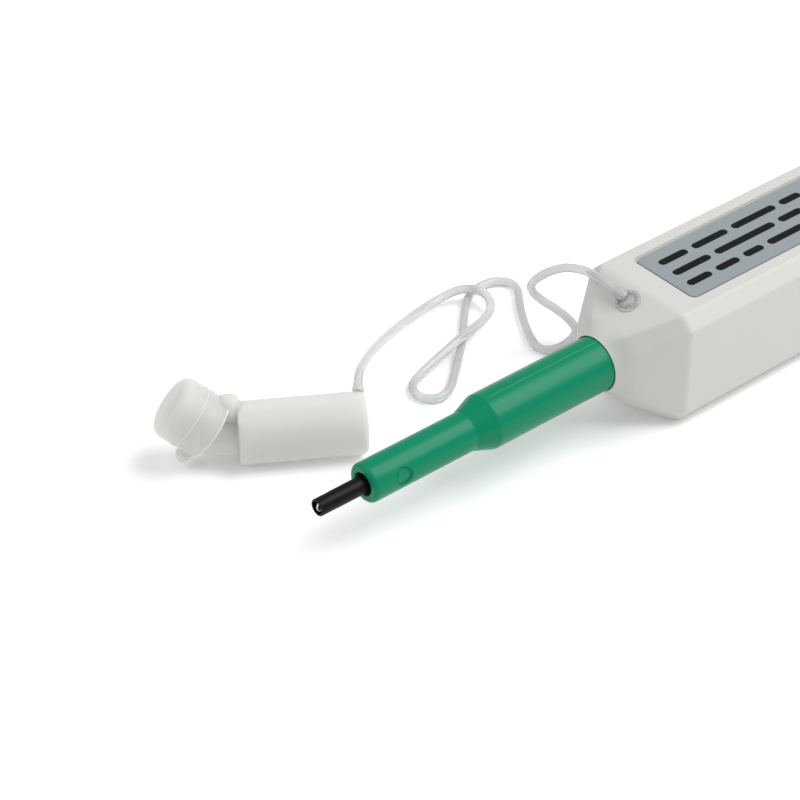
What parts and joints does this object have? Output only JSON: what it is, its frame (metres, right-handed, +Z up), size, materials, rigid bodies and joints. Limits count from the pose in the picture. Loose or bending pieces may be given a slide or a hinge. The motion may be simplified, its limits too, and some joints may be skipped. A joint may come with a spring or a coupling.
{
  "type": "fibre optic connector cleaner",
  "caption": "Push-type fibre optic connector cleaner: square white housing, stepped green nozzle with a black thread tip, and a translucent guide cap with a hinged lid on a clear tether.",
  "frame": {"origin": "centre of the housing's flat underside", "axes": "+X runs from the cleaning tip to the rear of the housing, +Z is up from the table, the guide cap lies on the +Y side"},
  "size_m": [0.1797, 0.0435, 0.0182],
  "materials": {
    "shell_white": "fine satin moulded",
    "label_grey": "satin printed film",
    "nozzle_green": "semi-gloss moulded",
    "tip_black": "matt moulded",
    "tip_core_grey": "matt moulded",
    "cap_translucent": "natural translucent polypropylene",
    "clear_silicone": "clear silicone",
    "inner_white": "moulded acetal",
    "thread_white": "fine woven thread",
    "spring_steel": "drawn wire",
    "screw_steel": "zinc plated"
  },
  "bodies": {
    "housing": {"housing_upper": "shell_white", "housing_lower": "shell_white", "rear_plug": "shell_white", "housing_screws": "screw_steel", "label_panel": "label_grey", "feed_rack": "inner_white", "twist_nut": "inner_white", "return_spring": "spring_steel", "tether_plug": "clear_silicone", "tether_cord": "clear_silicone", "guide_cap": "cap_translucent"},
    "cap_lid": {"cap_lid": "cap_translucent"},
    "carriage": {"carriage_frame": "inner_white", "take_up_axle": "screw_steel", "supply_axle": "screw_steel", "roller_axle": "screw_steel", "nozzle_sleeve": "nozzle_green", "nozzle_snap": "nozzle_green"},
    "pinion": {"feed_pinion": "inner_white"},
    "take_up": {"take_up_spool": "inner_white", "take_up_thread": "thread_white", "ratchet_wheel": "inner_white"},
    "supply": {"supply_spool": "inner_white", "supply_thread": "thread_white"},
    "roller": {"guide_roller": "inner_white"},
    "turner": {"twist_rod": "inner_white", "tip_spring": "spring_steel"},
    "tip": {"tip_tube": "tip_black", "tip_core": "tip_core_grey", "tip_thread": "thread_white"}
  },
  "joints": [
    {"name": "nozzle_push", "type": "slide", "parent": "housing", "child": "carriage", "axis": [1, 0, 0], "range_m": [0, 0.012], "stiffness_N_per_m": 400, "springref_m": -0.004, "deforming": ["return_spring"]},
    {"name": "tip_turn", "type": "hinge", "parent": "carriage", "child": "turner", "pos_m": [-0.0455, 0, 0.009], "axis": [1, 0, 0], "range_deg": [-181, 1]},
    {"name": "tip_press", "type": "slide", "parent": "turner", "child": "tip", "axis": [1, 0, 0], "range_m": [0, 0.002], "stiffness_N_per_m": 500, "springref_m": -0.002, "deforming": ["tip_spring"]},
    {"name": "pinion_turn", "type": "hinge", "parent": "carriage", "child": "pinion", "pos_m": [-0.0165, 0, 0.009], "axis": [0, 1, 0], "range_deg": [-1, 173]},
    {"name": "take_up_turn", "type": "hinge", "parent": "carriage", "child": "take_up", "pos_m": [-0.0165, 0, 0.009], "axis": [0, 1, 0], "range_deg": [-1, 173]},
    {"name": "supply_turn", "type": "hinge", "parent": "carriage", "child": "supply", "pos_m": [-0.003, 0, 0.009], "axis": [0, 1, 0], "range_deg": [-1, 90]},
    {"name": "roller_turn", "type": "hinge", "parent": "carriage", "child": "roller", "pos_m": [-0.0239, 0, 0.009], "axis": [0, 1, 0], "range_deg": [-290, 1]},
    {"name": "lid_hinge", "type": "hinge", "parent": "housing", "child": "cap_lid", "pos_m": [-0.10612, 0.02478, 0.0092], "axis": [0.5033, 0.8245, -0.2588], "range_deg": [-38.5, 75]}
  ],
  "couplings": [
    {"joint": "tip_turn", "follows": "nozzle_push", "rad_per_m": -261.8},
    {"joint": "pinion_turn", "follows": "nozzle_push", "rad_per_m": 250},
    {"joint": "take_up_turn", "follows": "nozzle_push", "rad_per_m": 250},
    {"joint": "supply_turn", "follows": "nozzle_push", "rad_per_m": 127.5},
    {"joint": "roller_turn", "follows": "nozzle_push", "rad_per_m": -416}
  ]
}
